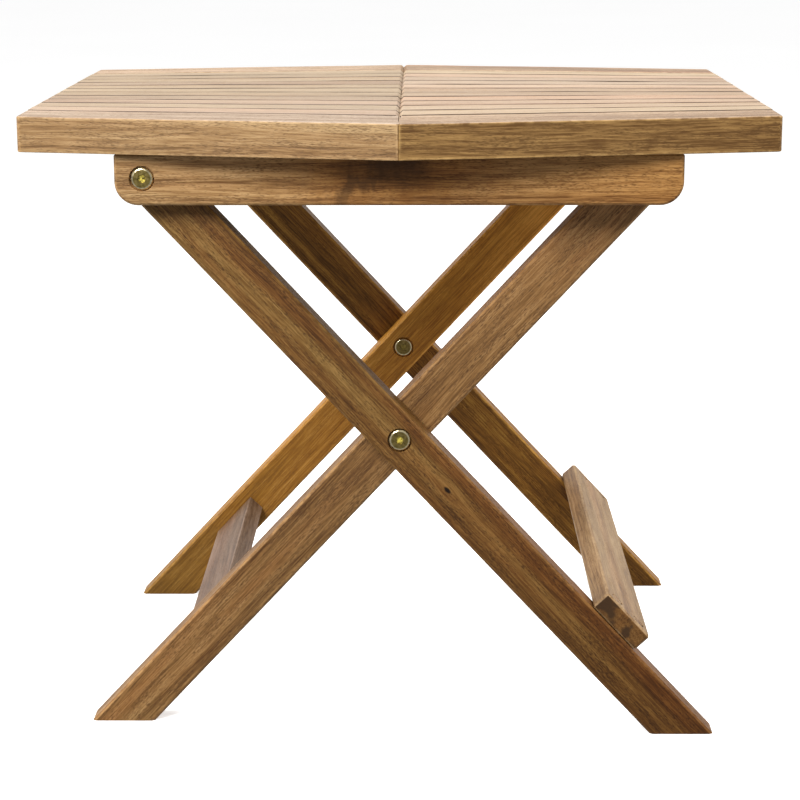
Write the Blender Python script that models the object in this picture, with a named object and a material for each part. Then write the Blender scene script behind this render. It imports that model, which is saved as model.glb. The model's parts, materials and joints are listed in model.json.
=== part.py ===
"""Folding side table: a slatted six-sided top on two crossed leg frames.

Metres, +Z up, +X to the right, -Y towards the front. The origin is on the floor under the middle
of the top. The outer frame carries the top on two bolts at its upper left end. The inner frame
crosses it on two bolts at the middle, and its upper bar stops against a cleat under the top.
Every hinge axis runs along Y.
"""

import math

import bmesh
import bpy
from mathutils import Vector

# The top
TOP_LENGTH = 0.5025
SEAM_DEPTH = 0.500
END_DEPTH = 0.400
TOP_HEIGHT = 0.434
SLATS_PER_HALF = 11
EDGE_BOARD_SHARE = 0.1125
SLAT_THICKNESS = 0.014
EDGE_BOARD_THICKNESS = 0.0235
SLAT_GAP = 0.0034
SEAM_GAP = 0.0006
SEAM_CHAMFER = 0.0022
SLAT_EASING = 0.0010

# The aprons and battens under it
APRON_LENGTH = 0.3745
APRON_THICKNESS = 0.0185
APRON_BOTTOM = 0.3758
APRON_CORNER_RADIUS = 0.0155
BATTEN_EASING = 0.0015
MIDDLE_BATTEN_WIDTH = 0.060
END_BATTEN_WIDTH = 0.052
END_BATTEN_CENTRE = 0.172
STOP_WIDTH = 0.015
STOP_HEIGHT = 0.025
STOP_LENGTH = 0.256

# The leg frames
CROSS_HEIGHT = 0.212
PIVOT_X = -0.169
PIVOT_HEIGHT = 0.3935
LEG_WIDTH = 0.0325
LEG_THICKNESS = 0.023
LEG_EASING = 0.0016
OUTER_FRAME_HALF_DEPTH = 0.185
HEAD_CLEARANCE = 0.0006
FOOT_ALLOWANCE = 0.010
OUTER_STRETCHER_WIDTH = 0.0438
OUTER_STRETCHER_THICKNESS = 0.0146
INNER_STRETCHER_WIDTH = 0.041
INNER_STRETCHER_THICKNESS = 0.0134
STRETCHER_FROM_CROSS = 0.2005
OUTER_STRETCHER_SETBACK = 0.003
TENON_WIDTH = 0.026
TENON_THICKNESS = 0.0076
TENON_LENGTH = 0.012
LATCH_BAR_RADIUS = 0.010
BAR_TENON_RADIUS = 0.007
BAR_TENON_LENGTH = 0.014

# Hardware: connector bolts in sleeve nuts, washers, wood screws under plugs
HEAD_RADIUS = 0.0075
HEAD_THICKNESS = 0.0024
SHANK_RADIUS = 0.003
SLEEVE_RADIUS = 0.0045
SLEEVE_BORE_RADIUS = 0.0033
SLEEVE_SHORT_BY = 0.005
SHANK_SHORT_BY = 0.015
BORE_FLOOR = 0.012
SOCKET_ACROSS_FLATS = 0.005
SOCKET_DEPTH = 0.0014
COUNTERBORE_RADIUS = 0.0084
COUNTERBORE_DEPTH = 0.0028
BOLT_HOLE_RADIUS = 0.00485
WASHER_RADIUS = 0.009
WASHER_THICKNESS = 0.0008
SCREW_RADIUS = 0.002
SCREW_HEAD_RADIUS = 0.004
SCREW_HEAD_HEIGHT = 0.0024
SCREW_LENGTH = 0.028
PLUG_RADIUS = 0.0048
PLUG_DEPTH = 0.0042
SCREW_SPACING = 0.022
SCREW_INSET = 0.0135

GAP = 0.0003
ROUND_SEGMENTS = 20
ARC_SEGMENTS = 10
PAST = 0.002

# Places that follow from those sizes
LEG_ANGLE = math.atan2(PIVOT_HEIGHT - CROSS_HEIGHT, -PIVOT_X)
HALF_LEG = LEG_WIDTH / 2
JOINT_GAP = WASHER_THICKNESS + 2 * GAP
OUTER_LEG_OUTSIDE = OUTER_FRAME_HALF_DEPTH
OUTER_LEG_INSIDE = OUTER_LEG_OUTSIDE - LEG_THICKNESS
INNER_LEG_OUTSIDE = OUTER_LEG_INSIDE - JOINT_GAP
INNER_LEG_INSIDE = INNER_LEG_OUTSIDE - LEG_THICKNESS
APRON_INSIDE = OUTER_LEG_OUTSIDE + JOINT_GAP
APRON_OUTSIDE = APRON_INSIDE + APRON_THICKNESS
SLAT_UNDERSIDE = TOP_HEIGHT - SLAT_THICKNESS
EDGE_BOARD_UNDERSIDE = TOP_HEIGHT - EDGE_BOARD_THICKNESS
BATTEN_BOTTOM = PIVOT_HEIGHT + HALF_LEG + HEAD_CLEARANCE
BATTEN_TOP = SLAT_UNDERSIDE - GAP
LATCH_X = -PIVOT_X
STOP_LEFT = LATCH_X + LATCH_BAR_RADIUS + 3 * GAP
ALONG_OUTER_LEG = Vector((math.cos(LEG_ANGLE), 0, -math.sin(LEG_ANGLE)))
ACROSS_OUTER_LEG = Vector((math.sin(LEG_ANGLE), 0, math.cos(LEG_ANGLE)))
ALONG_INNER_LEG = Vector((-math.cos(LEG_ANGLE), 0, -math.sin(LEG_ANGLE)))
ACROSS_INNER_LEG = Vector((-math.sin(LEG_ANGLE), 0, math.cos(LEG_ANGLE)))
CROSS = Vector((0, 0, CROSS_HEIGHT))
TOP_PIVOT = Vector((PIVOT_X, 0, PIVOT_HEIGHT))
SIDES = {"front": -1, "rear": 1}

# Material colours are linear RGB.
PALE_TOP = (0.50, 0.34, 0.21)
TAN = (0.42, 0.27, 0.13)
AMBER = (0.26, 0.13, 0.035)
BROWN = (0.20, 0.10, 0.04)
GREY_BROWN = (0.24, 0.15, 0.09)
BRASS = (0.42, 0.30, 0.12)
NYLON = (0.03, 0.03, 0.03)
STEEL = (0.45, 0.44, 0.40)


def clear_scene():
    for obj in list(bpy.data.objects):
        bpy.data.objects.remove(obj, do_unlink=True)


def material(name, colour, roughness, metallic=0.0):
    made = bpy.data.materials.new(name)
    made.use_nodes = True
    shader = made.node_tree.nodes["Principled BSDF"]
    shader.inputs["Base Color"].default_value = (*colour, 1.0)
    shader.inputs["Roughness"].default_value = roughness
    shader.inputs["Metallic"].default_value = metallic
    made.diffuse_color = (*colour, 1.0)
    return made


def wood(name, colour):
    return material(f"{name}_wood", colour, 0.55)


def shade(colour, factor):
    """The same colour, lighter or darker, for boards cut from different planks."""
    return tuple(min(1.0, channel * factor) for channel in colour)


def empty_axis(name, location, parent=None):
    """An empty on a hinge axis: what is parented to it turns about that axis."""
    axis = bpy.data.objects.new(name, None)
    axis.empty_display_size = 0.03
    axis.location = location if parent is None else location - parent.location
    axis.parent = parent
    bpy.context.collection.objects.link(axis)
    return axis


def finish_mesh(name, bm):
    bmesh.ops.recalc_face_normals(bm, faces=bm.faces)
    mesh = bpy.data.meshes.new(name)
    bm.to_mesh(mesh)
    bm.free()
    return mesh


def world_point(axis):
    """Where an axis empty is, which may itself hang on another one."""
    return axis.location + (world_point(axis.parent) if axis.parent else Vector())


def add_object(name, mesh, axis, location, direction=None):
    """Links the mesh at a world location, with its local Z turned to a direction."""
    obj = bpy.data.objects.new(name, mesh)
    obj.parent = axis
    obj.location = location - (world_point(axis) if axis else Vector())
    if direction is not None:
        obj.rotation_euler = direction.to_track_quat("Z", "Y").to_euler()
    bpy.context.collection.objects.link(obj)
    return obj


def add_solid(name, mesh, axis, location, paint, direction=None):
    obj = add_object(name, mesh, axis, location, direction)
    mesh.materials.append(paint)
    return obj


def ease_edges(obj, width):
    bevel = obj.modifiers.new("eased_edges", "BEVEL")
    bevel.width = width
    bevel.segments = 1
    bevel.limit_method = "ANGLE"
    bevel.angle_limit = math.radians(35)
    bevel.use_clamp_overlap = True


def cut(obj, cutter):
    boolean = obj.modifiers.new(cutter.name, "BOOLEAN")
    boolean.operation = "DIFFERENCE"
    boolean.solver = "EXACT"
    boolean.object = cutter


def add_cutter(name, mesh, axis, location, direction=None):
    cutter = add_object(name, mesh, axis, location, direction)
    cutter.hide_render = True
    cutter.display_type = "WIRE"
    return cutter


def arc(centre, radius, start, end, segments=ARC_SEGMENTS):
    """Points in XZ on an arc, from one angle to another."""
    angles = [start + (end - start) * i / segments for i in range(segments + 1)]
    return [(centre[0] + radius * math.cos(a), centre[1] + radius * math.sin(a)) for a in angles]


def prism_mesh(name, outline, y_low, y_high, origin):
    """An outline in world XZ extruded along Y, with its origin at a world point."""
    bm = bmesh.new()
    near = [bm.verts.new((x - origin.x, y_low - origin.y, z - origin.z)) for x, z in outline]
    face = bm.faces.new(near)
    grown = bmesh.ops.extrude_face_region(bm, geom=[face])["geom"]
    moved = [item for item in grown if isinstance(item, bmesh.types.BMVert)]
    bmesh.ops.translate(bm, verts=moved, vec=(0, y_high - y_low, 0))
    return finish_mesh(name, bm)


def lathe_mesh(name, profile, segments=ROUND_SEGMENTS, closed=False, smooth=True):
    """Turns (radius, height) points about local Z. A closed profile makes a ring."""
    bm = bmesh.new()
    rings = []
    for radius, height in profile:
        if radius == 0:
            rings.append([bm.verts.new((0, 0, height))])
            continue
        turns = [2 * math.pi * i / segments for i in range(segments)]
        rings.append(
            [bm.verts.new((radius * math.cos(t), radius * math.sin(t), height)) for t in turns]
        )
    pairs = list(zip(rings, rings[1:]))
    if closed:
        pairs.append((rings[-1], rings[0]))
    for first, second in pairs:
        for i in range(segments):
            after = (i + 1) % segments
            corners = [
                first[i % len(first)],
                first[after % len(first)],
                second[after % len(second)],
                second[i % len(second)],
            ]
            bm.faces.new(list(dict.fromkeys(corners)))
    mesh = finish_mesh(name, bm)
    if smooth:
        mesh.shade_smooth()
        mesh.set_sharp_from_angle(angle=math.radians(40))
    return mesh


def board_mesh(name, stations, width_along, thick_along):
    """A bar along Y: each station is (y, width, thickness), joined by flat sides and shoulders."""
    bm = bmesh.new()
    rings = []
    for y, width, thickness in stations:
        corners = []
        for across, up in ((-1, -1), (1, -1), (1, 1), (-1, 1)):
            point = width_along * (across * width / 2) + thick_along * (up * thickness / 2)
            corners.append(bm.verts.new(point + Vector((0, y, 0))))
        rings.append(corners)
    for first, second in zip(rings, rings[1:]):
        for i in range(4):
            after = (i + 1) % 4
            bm.faces.new((first[i], first[after], second[after], second[i]))
    bm.faces.new(rings[0])
    bm.faces.new(rings[-1])
    return finish_mesh(name, bm)


def stepped_hole(name, axis, location, direction, steps):
    """A cutter for a drilled hole: (radius, depth) steps down from just above the surface."""
    profile = [(0, PAST), (steps[0][0], PAST)]
    for (radius, depth), following in zip(steps, steps[1:] + [(0, None)]):
        profile.append((radius, -depth))
        profile.append((following[0], -depth))
    return add_cutter(name, lathe_mesh(name, profile, smooth=False), axis, location, direction)


# ---------------------------------------------------------------- the top


def fanned(y_at_seam, x):
    """The slats spread from the ends to the seam: where a line at the seam is at x."""
    taper = (1 - END_DEPTH / SEAM_DEPTH) * abs(x) / (TOP_LENGTH / 2)
    return y_at_seam * (1 - taper)


def fan_board_mesh(name, half, y_low, y_high, underside):
    """A tapering board from the seam to the end, with its upper seam edge chamfered."""
    seam, end = half * SEAM_GAP / 2, half * TOP_LENGTH / 2
    profile = (
        (seam, underside),
        (end, underside),
        (end, TOP_HEIGHT),
        (seam + half * SEAM_CHAMFER, TOP_HEIGHT),
        (seam, TOP_HEIGHT - SEAM_CHAMFER),
    )
    bm = bmesh.new()
    low, high = [], []
    for x, z in profile:
        low.append(bm.verts.new((x, fanned(y_low, x), z)))
        high.append(bm.verts.new((x, fanned(y_high, x), z)))
    bm.faces.new(low)
    bm.faces.new(high)
    for i in range(len(profile)):
        after = (i + 1) % len(profile)
        bm.faces.new((low[i], low[after], high[after], high[i]))
    bmesh.ops.translate(bm, verts=bm.verts, vec=-TOP_PIVOT)
    return finish_mesh(name, bm)


def build_top_boards(axis):
    half_depth = SEAM_DEPTH / 2
    board = SEAM_DEPTH * EDGE_BOARD_SHARE
    pitch = (SEAM_DEPTH - 2 * board) / SLATS_PER_HALF
    lines = [-half_depth] + [-half_depth + board + pitch * i for i in range(SLATS_PER_HALF + 1)]
    lines.append(half_depth)
    last = len(lines) - 2
    for half_name, half in (("left", -1), ("right", 1)):
        for i in range(last + 1):
            y_low = lines[i] + (SLAT_GAP / 2 if i > 0 else 0)
            y_high = lines[i + 1] - (SLAT_GAP / 2 if i < last else 0)
            name = f"{half_name}_slat_{i:02d}"
            underside = SLAT_UNDERSIDE
            tint = PALE_TOP
            if i in (0, last):
                name = f"{half_name}_{'front' if i == 0 else 'rear'}_board"
                underside = EDGE_BOARD_UNDERSIDE
                tint = TAN if half < 0 else shade(TAN, 0.75)
            mesh = fan_board_mesh(name, half, y_low, y_high, underside)
            paint = wood(name, shade(tint, 1 + 0.08 * math.sin(2.3 * i + half)))
            ease_edges(add_solid(name, mesh, axis, TOP_PIVOT, paint), SLAT_EASING)


def build_battens(axis):
    height = BATTEN_TOP - BATTEN_BOTTOM
    centre_z = (BATTEN_TOP + BATTEN_BOTTOM) / 2
    slats_to = SEAM_DEPTH * (0.5 - EDGE_BOARD_SHARE) - SLAT_GAP
    for name, x, width in (
        ("left_batten", -END_BATTEN_CENTRE, END_BATTEN_WIDTH),
        ("middle_batten", 0.0, MIDDLE_BATTEN_WIDTH),
        ("right_batten", END_BATTEN_CENTRE, END_BATTEN_WIDTH),
    ):
        reach = fanned(slats_to, abs(x) + width / 2)
        stations = [(-reach, width, height), (reach, width, height)]
        mesh = board_mesh(name, stations, Vector((1, 0, 0)), Vector((0, 0, 1)))
        place = Vector((x, 0, centre_z))
        ease_edges(add_solid(name, mesh, axis, place, wood(name, BROWN)), BATTEN_EASING)


def build_latch_stop(axis):
    top = BATTEN_BOTTOM - GAP
    place = Vector((STOP_LEFT + STOP_WIDTH / 2, 0, top - STOP_HEIGHT / 2))
    stations = [(-STOP_LENGTH / 2, STOP_WIDTH, STOP_HEIGHT), (STOP_LENGTH / 2, STOP_WIDTH, STOP_HEIGHT)]
    mesh = board_mesh("latch_stop", stations, Vector((1, 0, 0)), Vector((0, 0, 1)))
    ease_edges(add_solid("latch_stop", mesh, axis, place, wood("latch_stop", BROWN)), BATTEN_EASING)


def apron_outline():
    half = APRON_LENGTH / 2
    top = EDGE_BOARD_UNDERSIDE - GAP
    radius = APRON_CORNER_RADIUS
    low = APRON_BOTTOM + radius
    right = arc((half - radius, low), radius, 0, -math.pi / 2)
    left = arc((radius - half, low), radius, -math.pi / 2, -math.pi)
    return [(-half, top), (half, top)] + right + left


def build_aprons(axis):
    for place_name, side in SIDES.items():
        name = f"{place_name}_apron"
        faces = sorted((side * APRON_INSIDE, side * APRON_OUTSIDE))
        mesh = prism_mesh(name, apron_outline(), *faces, TOP_PIVOT)
        apron = add_solid(name, mesh, axis, TOP_PIVOT, wood(name, TAN))
        ease_edges(apron, LEG_EASING)
        hole = stepped_hole(
            f"{name}_bolt_hole",
            axis,
            TOP_PIVOT + Vector((0, side * APRON_OUTSIDE, 0)),
            Vector((0, side, 0)),
            [(COUNTERBORE_RADIUS, COUNTERBORE_DEPTH), (BOLT_HOLE_RADIUS, APRON_THICKNESS + PAST)],
        )
        cut(apron, hole)


# ---------------------------------------------------------------- the leg frames


def leg_outline(direction):
    """One leg in XZ: a round head, straight edges and a foot left long for the level cut.

    The direction is 1 for the outer legs, whose feet are at +X, and -1 for the inner ones.
    """
    along = (math.cos(LEG_ANGLE), -math.sin(LEG_ANGLE))
    across = (math.sin(LEG_ANGLE), math.cos(LEG_ANGLE))
    start = math.atan2(across[1], across[0])
    outline = arc((PIVOT_X, PIVOT_HEIGHT), HALF_LEG, start, start + math.pi, 2 * ARC_SEGMENTS)
    for edge in (-HALF_LEG, HALF_LEG):
        run = (PIVOT_HEIGHT + edge * across[1] + FOOT_ALLOWANCE) / -along[1]
        outline.append((PIVOT_X + edge * across[0] + run * along[0], -FOOT_ALLOWANCE))
    return [(direction * x, z) for x, z in outline]


def cut_foot_level(leg, axis):
    """Saws a leg off at the floor, after its long edges are eased."""
    reach = TOP_LENGTH
    outline = [(-reach, -2 * FOOT_ALLOWANCE), (reach, -2 * FOOT_ALLOWANCE), (reach, 0), (-reach, 0)]
    mesh = prism_mesh(f"{leg.name}_foot_cut", outline, -reach, reach, CROSS)
    cut(leg, add_cutter(mesh.name, mesh, axis, CROSS))


def bolt_recess(name, axis, point, outward, depth):
    """A counterbored through hole for a connector bolt or its sleeve nut."""
    steps = [(COUNTERBORE_RADIUS, COUNTERBORE_DEPTH), (BOLT_HOLE_RADIUS, depth)]
    return stepped_hole(name, axis, point, Vector((0, outward, 0)), steps)


def build_outer_legs():
    through = LEG_THICKNESS + PAST
    legs = {}
    for place_name, side in SIDES.items():
        name = f"outer_leg_{place_name}"
        faces = sorted((side * OUTER_LEG_INSIDE, side * OUTER_LEG_OUTSIDE))
        mesh = prism_mesh(name, leg_outline(1), *faces, CROSS)
        leg = add_solid(name, mesh, None, CROSS, wood(name, BROWN))
        ease_edges(leg, LEG_EASING)
        cut_foot_level(leg, None)
        inside = TOP_PIVOT + Vector((0, side * OUTER_LEG_INSIDE, 0))
        outside = CROSS + Vector((0, side * OUTER_LEG_OUTSIDE, 0))
        cut(leg, bolt_recess(f"{name}_nut_recess", None, inside, -side, through))
        cut(leg, bolt_recess(f"{name}_bolt_recess", None, outside, side, through))
        legs[place_name] = leg
    return legs


def build_outer_stretcher(legs):
    """A board laid on the upper edges of the outer legs, screwed down under wooden plugs."""
    reach = OUTER_LEG_OUTSIDE - OUTER_STRETCHER_SETBACK
    middle = CROSS + ALONG_OUTER_LEG * STRETCHER_FROM_CROSS
    place = middle + ACROSS_OUTER_LEG * (HALF_LEG + GAP + OUTER_STRETCHER_THICKNESS / 2)
    stations = [
        (-reach, OUTER_STRETCHER_WIDTH, OUTER_STRETCHER_THICKNESS),
        (reach, OUTER_STRETCHER_WIDTH, OUTER_STRETCHER_THICKNESS),
    ]
    mesh = board_mesh("outer_stretcher", stations, ALONG_OUTER_LEG, ACROSS_OUTER_LEG)
    board = add_solid("outer_stretcher", mesh, None, place, wood("outer_stretcher", TAN))
    ease_edges(board, LEG_EASING)
    surface = place + ACROSS_OUTER_LEG * OUTER_STRETCHER_THICKNESS / 2
    number = 0
    for place_name, side in SIDES.items():
        for offset in (-SCREW_SPACING / 2, SCREW_SPACING / 2):
            number += 1
            point = surface + ALONG_OUTER_LEG * offset
            point = point + Vector((0, side * (OUTER_LEG_OUTSIDE - SCREW_INSET), 0))
            hole = add_plugged_screw(number, point)
            cut(board, hole)
            cut(legs[place_name], hole)


def add_plugged_screw(number, point):
    head_top = PLUG_DEPTH + 2 * GAP
    head_bottom = head_top + SCREW_HEAD_HEIGHT
    plug_profile = [
        (0, -GAP / 3),
        (PLUG_RADIUS - GAP, -GAP / 3),
        (PLUG_RADIUS, -2 * GAP),
        (PLUG_RADIUS, -PLUG_DEPTH),
        (0, -PLUG_DEPTH),
    ]
    name = f"screw_plug_{number}"
    mesh = lathe_mesh(name, plug_profile, smooth=False)
    add_solid(name, mesh, None, point, wood(name, TAN), ACROSS_OUTER_LEG)
    tip = head_top + SCREW_LENGTH
    screw_profile = [
        (0, -head_top),
        (SCREW_HEAD_RADIUS, -head_top),
        (SCREW_RADIUS, -head_bottom),
        (SCREW_RADIUS, -tip + 2 * SCREW_RADIUS),
        (0, -tip),
    ]
    name = f"stretcher_screw_{number}"
    mesh = lathe_mesh(name, screw_profile, segments=12)
    paint = material(f"{name}_steel", STEEL, 0.35, 1.0)
    add_solid(name, mesh, None, point, paint, ACROSS_OUTER_LEG)
    steps = [
        (PLUG_RADIUS + GAP, PLUG_DEPTH + GAP),
        (SCREW_HEAD_RADIUS + GAP, head_bottom + GAP),
        (SCREW_RADIUS + GAP, tip + GAP),
    ]
    return stepped_hole(f"screw_hole_{number}", None, point, ACROSS_OUTER_LEG, steps)


def build_inner_legs(axis):
    through = LEG_THICKNESS + PAST
    latch = Vector((LATCH_X, 0, PIVOT_HEIGHT))
    for place_name, side in SIDES.items():
        name = f"inner_leg_{place_name}"
        faces = sorted((side * INNER_LEG_INSIDE, side * INNER_LEG_OUTSIDE))
        mesh = prism_mesh(name, leg_outline(-1), *faces, CROSS)
        colour = GREY_BROWN if side < 0 else AMBER
        leg = add_solid(name, mesh, axis, CROSS, wood(name, colour))
        ease_edges(leg, LEG_EASING)
        cut_foot_level(leg, axis)
        inside = Vector((0, side * INNER_LEG_INSIDE, 0))
        cut(leg, bolt_recess(f"{name}_nut_recess", axis, CROSS + inside, -side, through))
        socket = stepped_hole(
            f"{name}_bar_socket",
            axis,
            latch + inside,
            Vector((0, -side, 0)),
            [(BAR_TENON_RADIUS + GAP, BAR_TENON_LENGTH + GAP)],
        )
        cut(leg, socket)
        depth = TENON_LENGTH + GAP
        ends = sorted((side * (INNER_LEG_INSIDE - PAST), side * (INNER_LEG_INSIDE + depth)))
        stations = [(y, TENON_WIDTH + 2 * GAP, TENON_THICKNESS + 2 * GAP) for y in ends]
        mesh = board_mesh(f"{name}_mortise", stations, ALONG_INNER_LEG, ACROSS_INNER_LEG)
        place = CROSS + ALONG_INNER_LEG * STRETCHER_FROM_CROSS
        cut(leg, add_cutter(f"{name}_mortise", mesh, axis, place))


def build_inner_stretcher(axis):
    """A board between the inner legs, with a tenon in each."""
    shoulder = INNER_LEG_INSIDE - GAP
    tip = INNER_LEG_INSIDE + TENON_LENGTH
    stations = [
        (-tip, TENON_WIDTH, TENON_THICKNESS),
        (-shoulder, TENON_WIDTH, TENON_THICKNESS),
        (-shoulder, INNER_STRETCHER_WIDTH, INNER_STRETCHER_THICKNESS),
        (shoulder, INNER_STRETCHER_WIDTH, INNER_STRETCHER_THICKNESS),
        (shoulder, TENON_WIDTH, TENON_THICKNESS),
        (tip, TENON_WIDTH, TENON_THICKNESS),
    ]
    mesh = board_mesh("inner_stretcher", stations, ALONG_INNER_LEG, ACROSS_INNER_LEG)
    place = CROSS + ALONG_INNER_LEG * STRETCHER_FROM_CROSS
    add_solid("inner_stretcher", mesh, axis, place, wood("inner_stretcher", GREY_BROWN))


def build_latch_bar(axis):
    """The dowel between the inner legs' heads, which the stop under the top holds."""
    shoulder = INNER_LEG_INSIDE - GAP
    tip = INNER_LEG_INSIDE + BAR_TENON_LENGTH
    profile = [
        (0, -tip),
        (BAR_TENON_RADIUS, -tip),
        (BAR_TENON_RADIUS, -shoulder),
        (LATCH_BAR_RADIUS, -shoulder),
        (LATCH_BAR_RADIUS, shoulder),
        (BAR_TENON_RADIUS, shoulder),
        (BAR_TENON_RADIUS, tip),
        (0, tip),
    ]
    mesh = lathe_mesh("latch_bar", profile)
    place = Vector((LATCH_X, 0, PIVOT_HEIGHT))
    add_solid("latch_bar", mesh, axis, place, wood("latch_bar", TAN), Vector((0, 1, 0)))


# ---------------------------------------------------------------- the hardware


def hex_cutter(name, axis, location, direction):
    radius = SOCKET_ACROSS_FLATS / math.sqrt(3)
    profile = [
        (0, HEAD_THICKNESS + PAST),
        (radius, HEAD_THICKNESS + PAST),
        (radius, HEAD_THICKNESS - SOCKET_DEPTH),
        (0, HEAD_THICKNESS - SOCKET_DEPTH),
    ]
    mesh = lathe_mesh(name, profile, segments=6, smooth=False)
    return add_cutter(name, mesh, axis, location, direction)


def head_profile():
    """A low domed head with a bevelled rim, from its middle out and down to its seat."""
    return [
        (0, HEAD_THICKNESS),
        (HEAD_RADIUS * 0.55, HEAD_THICKNESS),
        (HEAD_RADIUS * 0.88, HEAD_THICKNESS * 0.9),
        (HEAD_RADIUS, HEAD_THICKNESS * 0.6),
        (HEAD_RADIUS, GAP),
    ]


def build_connector(kind, place_name, axis, point, outside, inside):
    """A bolt from the outer face and a sleeve nut from the inner face, round one hinge axis."""
    side = SIDES[place_name]
    outward = Vector((0, side, 0))
    bolt_seat = point + outward * (outside - COUNTERBORE_DEPTH)
    nut_seat = point + outward * (inside + COUNTERBORE_DEPTH)
    grip = outside - inside - 2 * COUNTERBORE_DEPTH
    shank = grip - SHANK_SHORT_BY
    sleeve = grip - SLEEVE_SHORT_BY
    bore_floor = BORE_FLOOR
    bolt_profile = head_profile() + [
        (SHANK_RADIUS, GAP),
        (SHANK_RADIUS, GAP - shank),
        (SHANK_RADIUS * 0.7, -shank),
        (0, -shank),
    ]
    nut_profile = head_profile() + [
        (SLEEVE_RADIUS, GAP),
        (SLEEVE_RADIUS, -sleeve),
        (SLEEVE_BORE_RADIUS, -sleeve),
        (SLEEVE_BORE_RADIUS, -bore_floor),
        (0, -bore_floor),
    ]
    for name, profile, seat, direction in (
        (f"{kind}_bolt_{place_name}", bolt_profile, bolt_seat, outward),
        (f"{kind}_nut_{place_name}", nut_profile, nut_seat, -outward),
    ):
        mesh = lathe_mesh(name, profile)
        paint = material(f"{name}_brass", BRASS, 0.32, 1.0)
        fastener = add_solid(name, mesh, axis, seat, paint, direction)
        cut(fastener, hex_cutter(f"{name}_socket", axis, seat, direction))


def build_washer(name, axis, centre):
    profile = [
        (BOLT_HOLE_RADIUS, -WASHER_THICKNESS / 2),
        (WASHER_RADIUS, -WASHER_THICKNESS / 2),
        (WASHER_RADIUS, WASHER_THICKNESS / 2),
        (BOLT_HOLE_RADIUS, WASHER_THICKNESS / 2),
    ]
    mesh = lathe_mesh(name, profile, closed=True)
    paint = material(f"{name}_nylon", NYLON, 0.5)
    add_solid(name, mesh, axis, centre, paint, Vector((0, 1, 0)))


def build_hardware(top_axis):
    for place_name, side in SIDES.items():
        build_connector("cross", place_name, None, CROSS, OUTER_LEG_OUTSIDE, INNER_LEG_INSIDE)
        build_connector("top", place_name, top_axis, TOP_PIVOT, APRON_OUTSIDE, OUTER_LEG_INSIDE)
        between_legs = CROSS + Vector((0, side * (OUTER_LEG_INSIDE - JOINT_GAP / 2), 0))
        by_apron = TOP_PIVOT + Vector((0, side * (OUTER_LEG_OUTSIDE + JOINT_GAP / 2), 0))
        build_washer(f"cross_washer_{place_name}", None, between_legs)
        build_washer(f"top_washer_{place_name}", top_axis, by_apron)


def main():
    clear_scene()
    leg_fold_axis = empty_axis("leg_fold_axis", CROSS)
    top_ride_axis = empty_axis("top_ride_axis", TOP_PIVOT)
    top_lift_axis = empty_axis("top_lift_axis", TOP_PIVOT, top_ride_axis)
    build_top_boards(top_lift_axis)
    build_battens(top_lift_axis)
    build_latch_stop(top_lift_axis)
    build_aprons(top_lift_axis)
    legs = build_outer_legs()
    build_outer_stretcher(legs)
    build_inner_legs(leg_fold_axis)
    build_inner_stretcher(leg_fold_axis)
    build_latch_bar(leg_fold_axis)
    build_hardware(top_ride_axis)


main()
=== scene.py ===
# Folding side table, oiled hardwood with antique brass bolts. Metres, +Z up, -Y towards the front.
# Each wooden piece carries its own grain: attributes on its vertices say where each point lies in
# the plank that the piece was cut from, and the wood materials work from those.

import json
import math
import random

import bmesh
import bpy
from mathutils import Euler, Matrix, Vector, noise

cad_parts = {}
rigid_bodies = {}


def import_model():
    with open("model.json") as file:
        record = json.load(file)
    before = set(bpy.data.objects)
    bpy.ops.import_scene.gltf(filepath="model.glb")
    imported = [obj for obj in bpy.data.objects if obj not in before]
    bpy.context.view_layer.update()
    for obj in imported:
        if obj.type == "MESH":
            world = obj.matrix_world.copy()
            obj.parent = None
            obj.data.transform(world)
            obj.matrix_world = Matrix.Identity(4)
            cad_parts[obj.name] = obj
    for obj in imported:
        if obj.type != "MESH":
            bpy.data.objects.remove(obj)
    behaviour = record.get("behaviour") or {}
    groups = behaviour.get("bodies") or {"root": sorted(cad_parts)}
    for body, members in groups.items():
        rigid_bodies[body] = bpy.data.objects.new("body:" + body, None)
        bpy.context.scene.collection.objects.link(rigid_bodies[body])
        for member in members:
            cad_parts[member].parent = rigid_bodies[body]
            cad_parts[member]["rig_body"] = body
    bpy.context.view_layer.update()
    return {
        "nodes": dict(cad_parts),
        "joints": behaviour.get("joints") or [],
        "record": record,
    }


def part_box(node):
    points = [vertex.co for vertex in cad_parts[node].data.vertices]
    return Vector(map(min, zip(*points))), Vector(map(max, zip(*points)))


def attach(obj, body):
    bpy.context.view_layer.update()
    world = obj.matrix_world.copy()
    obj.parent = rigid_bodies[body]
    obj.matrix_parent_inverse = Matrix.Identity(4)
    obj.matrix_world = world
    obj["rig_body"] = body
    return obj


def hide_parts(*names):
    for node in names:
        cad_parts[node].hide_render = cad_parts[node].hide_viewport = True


# The view
CAMERA_PLACE = (0.0146, -1.6814, 0.5773)
CAMERA_TILT = math.radians(12.69)
CAMERA_TURN = math.radians(0.548)
CAMERA_ROLL = math.radians(-0.095)
FOCAL_LENGTH = 101.6
SENSOR_WIDTH = 36.0

# How bright the studio is in front and below, behind and overhead, and through its floor
WORLD_DIM = 0.32
WORLD_BRIGHT = 0.80
FLOOR_GLOW = 0.4
# The floor's outline as (radius, height): level under the table, turned up far away
BACKDROP = ((0, 0), (22, 0), (26, 1), (29, 4), (30, 8), (30, 25))

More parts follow.
